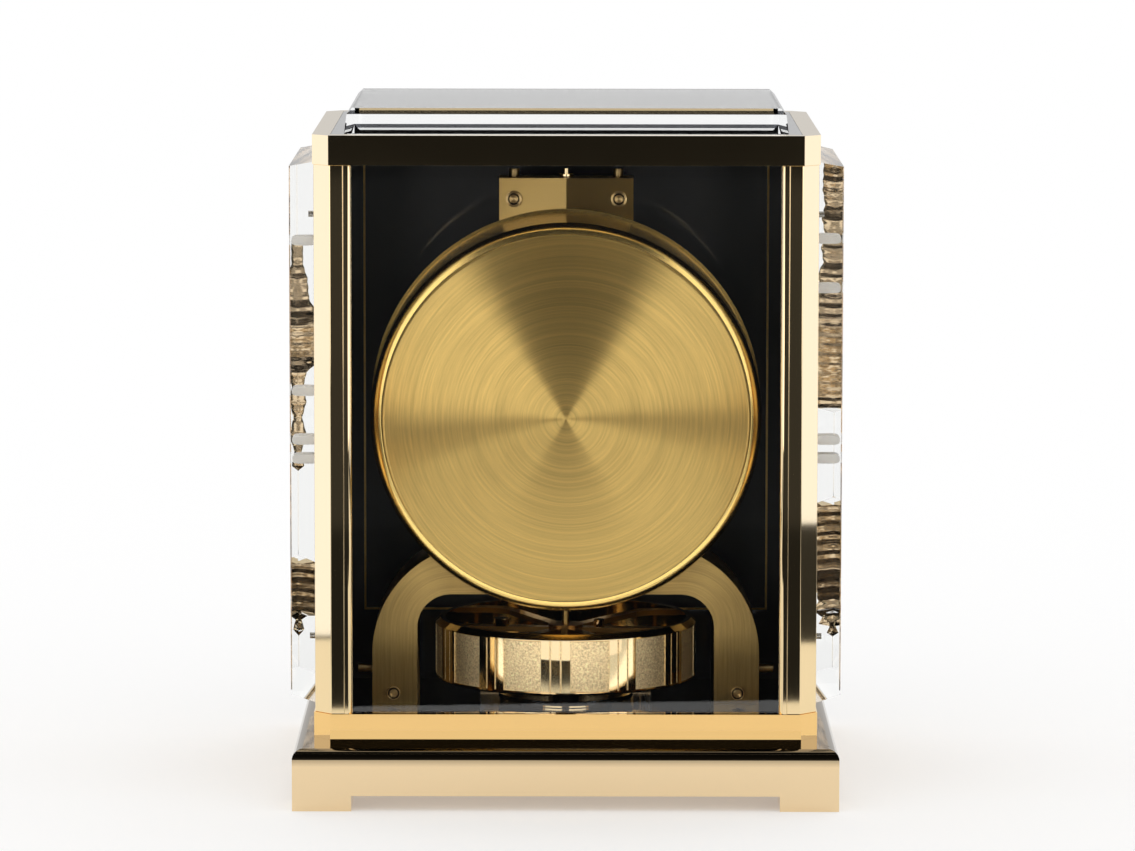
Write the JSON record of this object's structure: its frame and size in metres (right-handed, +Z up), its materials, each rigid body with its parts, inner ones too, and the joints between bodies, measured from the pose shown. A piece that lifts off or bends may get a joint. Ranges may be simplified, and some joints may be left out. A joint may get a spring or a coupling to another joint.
{
  "type": "atmospheric clock",
  "caption": "Glazed brass mantel clock wound by air temperature: round capsule drum over a slow torsion balance, clear crystal side blocks, a clear roof slab and a stepped plinth.",
  "frame": {"origin": "middle of the plinth on the surface it stands on", "axes": "+Z up; the dial and door face -Y, the back glass and the drum face +Y; +X is the right-hand side as the dial is read"},
  "size_m": [0.1842, 0.167, 0.2295],
  "materials": {
    "gilt_brass": "polished, gilt",
    "brushed_brass": "brushed",
    "drum_brass": "circular brushed",
    "balance_gilt": "polished bars on frosted ground",
    "steel": "fine turned",
    "black_lacquer": "glossy lacquer",
    "dial_black": "satin lacquer",
    "clear_glass": "clear",
    "crystal": "clear, channels frosted"
  },
  "bodies": {
    "case": {"base_plinth": "gilt_brass", "base_deck": "black_lacquer", "lower_band": "gilt_brass", "post_front_left": "gilt_brass", "post_front_right": "gilt_brass", "post_rear_left": "gilt_brass", "post_rear_right": "gilt_brass", "top_band": "gilt_brass", "roof_plate": "black_lacquer", "roof_slab": "crystal", "side_panel_left": "gilt_brass", "side_panel_right": "gilt_brass", "crystal_left": "crystal", "crystal_right": "crystal", "crystal_screws": "steel", "rear_beads": "gilt_brass", "rear_glass": "clear_glass", "hinge_pins": "steel", "dial_panel": "dial_black", "dial_trim": "gilt_brass", "chapter_ring": "gilt_brass", "rear_plate": "brushed_brass", "front_plate": "brushed_brass", "plate_pillars": "brushed_brass", "capsule_drum": "drum_brass", "drum_back": "drum_brass", "gas_capsule": "steel", "arch_frame": "brushed_brass", "frame_screws": "brushed_brass", "top_bracket": "brushed_brass", "suspension_tube": "brushed_brass", "spirit_level": "clear_glass"},
    "door": {"door_frame": "gilt_brass", "door_glass": "clear_glass", "door_knob": "gilt_brass"},
    "balance": {"balance_ring": "balance_gilt", "balance_arms": "brushed_brass", "balance_staff": "steel", "poising_screws": "gilt_brass", "suspension_wire": "steel"},
    "barrel": {"barrel": "brushed_brass", "mainspring": "steel"},
    "winding_arbor": {"winding_arbor": "steel"},
    "center": {"center_wheel": "brushed_brass", "minute_hand": "gilt_brass"},
    "third": {"third_wheel": "brushed_brass"},
    "escape": {"escape_wheel": "brushed_brass"},
    "minute_work": {"minute_wheel": "brushed_brass"},
    "hour": {"hour_wheel": "brushed_brass", "hour_hand": "gilt_brass"},
    "lever": {"escape_lever": "steel"},
    "capsule_end": {"capsule_cap": "steel", "winding_chain": "steel"},
    "chain_run": {"pulley_chain": "steel"},
    "guide_roller": {"guide_roller": "brushed_brass"},
    "lock_lever": {"lock_lever": "gilt_brass"},
    "lift_cup": {"lift_cup": "black_lacquer"},
    "foot_left": {"level_foot_left": "steel"},
    "foot_right": {"level_foot_right": "steel"},
    "regulator": {"regulator": "gilt_brass"}
  },
  "joints": [
    {"name": "door_hinge", "type": "hinge", "parent": "case", "child": "door", "pos_m": [-0.0708, -0.0608, 0.12], "axis": [0, 0, -1], "range_deg": [0, 90]},
    {"name": "balance_swing", "type": "hinge", "parent": "case", "child": "balance", "pos_m": [0, -0.0028, 0.045], "axis": [0, 0, 1], "range_deg": [-270, 270], "stiffness_Nm_per_rad": 0.000003},
    {"name": "barrel_turn", "type": "hinge", "parent": "case", "child": "barrel", "pos_m": [0, -0.02, 0.1634], "axis": [0, -1, 0], "continuous": true},
    {"name": "center_turn", "type": "hinge", "parent": "case", "child": "center", "pos_m": [0, -0.02, 0.134], "axis": [0, 1, 0], "continuous": true},
    {"name": "third_turn", "type": "hinge", "parent": "case", "child": "third", "pos_m": [0.00939, -0.02, 0.11634], "axis": [0, -1, 0], "continuous": true},
    {"name": "escape_turn", "type": "hinge", "parent": "case", "child": "escape", "pos_m": [0.00303, -0.02, 0.10387], "axis": [0, 1, 0], "continuous": true},
    {"name": "minute_work_turn", "type": "hinge", "parent": "case", "child": "minute_work", "pos_m": [-0.0094, -0.032, 0.13058], "axis": [0, -1, 0], "continuous": true},
    {"name": "hour_turn", "type": "hinge", "parent": "case", "child": "hour", "pos_m": [0, -0.036, 0.134], "axis": [0, 1, 0], "continuous": true},
    {"name": "lever_rock", "type": "hinge", "parent": "case", "child": "lever", "pos_m": [0, -0.0077, 0.0912], "axis": [0, 1, 0], "range_deg": [-3, 3]},
    {"name": "capsule_breath", "type": "slide", "parent": "case", "child": "capsule_end", "axis": [0, -1, 0], "range_m": [0, 0.002]},
    {"name": "winding_turn", "type": "hinge", "parent": "case", "child": "winding_arbor", "pos_m": [0, -0.02, 0.1634], "axis": [0, -1, 0], "range_deg": [0, 13]},
    {"name": "chain_climb", "type": "slide", "parent": "case", "child": "chain_run", "axis": [0, 0, 1], "range_m": [0, 0.002]},
    {"name": "guide_roller_turn", "type": "hinge", "parent": "case", "child": "guide_roller", "pos_m": [0.009, -0.0036, 0.1295], "axis": [-1, 0, 0], "range_deg": [0, 39]},
    {"name": "lock_lever_turn", "type": "hinge", "parent": "case", "child": "lock_lever", "pos_m": [0, -0.0028, 0.0233], "axis": [0, 0, 1], "range_deg": [0, 25]},
    {"name": "lift_rise", "type": "slide", "parent": "case", "child": "lift_cup", "axis": [0, 0, 1], "range_m": [0, 0.0012]},
    {"name": "foot_left_screw", "type": "slide", "parent": "case", "child": "foot_left", "axis": [0, 0, -1], "range_m": [0, 0.0025]},
    {"name": "foot_right_screw", "type": "slide", "parent": "case", "child": "foot_right", "axis": [0, 0, -1], "range_m": [0, 0.0025]},
    {"name": "regulator_turn", "type": "hinge", "parent": "case", "child": "regulator", "pos_m": [0, -0.0028, 0.203], "axis": [0, 0, 1], "range_deg": [-20, 20]}
  ],
  "couplings": [
    {"joint": "center_turn", "follows": "barrel_turn", "ratio": 6},
    {"joint": "third_turn", "follows": "barrel_turn", "ratio": 18},
    {"joint": "escape_turn", "follows": "barrel_turn", "ratio": 24},
    {"joint": "minute_work_turn", "follows": "barrel_turn", "ratio": 2},
    {"joint": "hour_turn", "follows": "barrel_turn", "ratio": 0.5},
    {"joint": "winding_turn", "follows": "capsule_breath", "rad_per_m": 111.11},
    {"joint": "chain_climb", "follows": "capsule_breath", "ratio": 1},
    {"joint": "guide_roller_turn", "follows": "capsule_breath", "rad_per_m": 333.33},
    {"joint": "lift_rise", "follows": "lock_lever_turn", "m_per_rad": 0.00275}
  ]
}
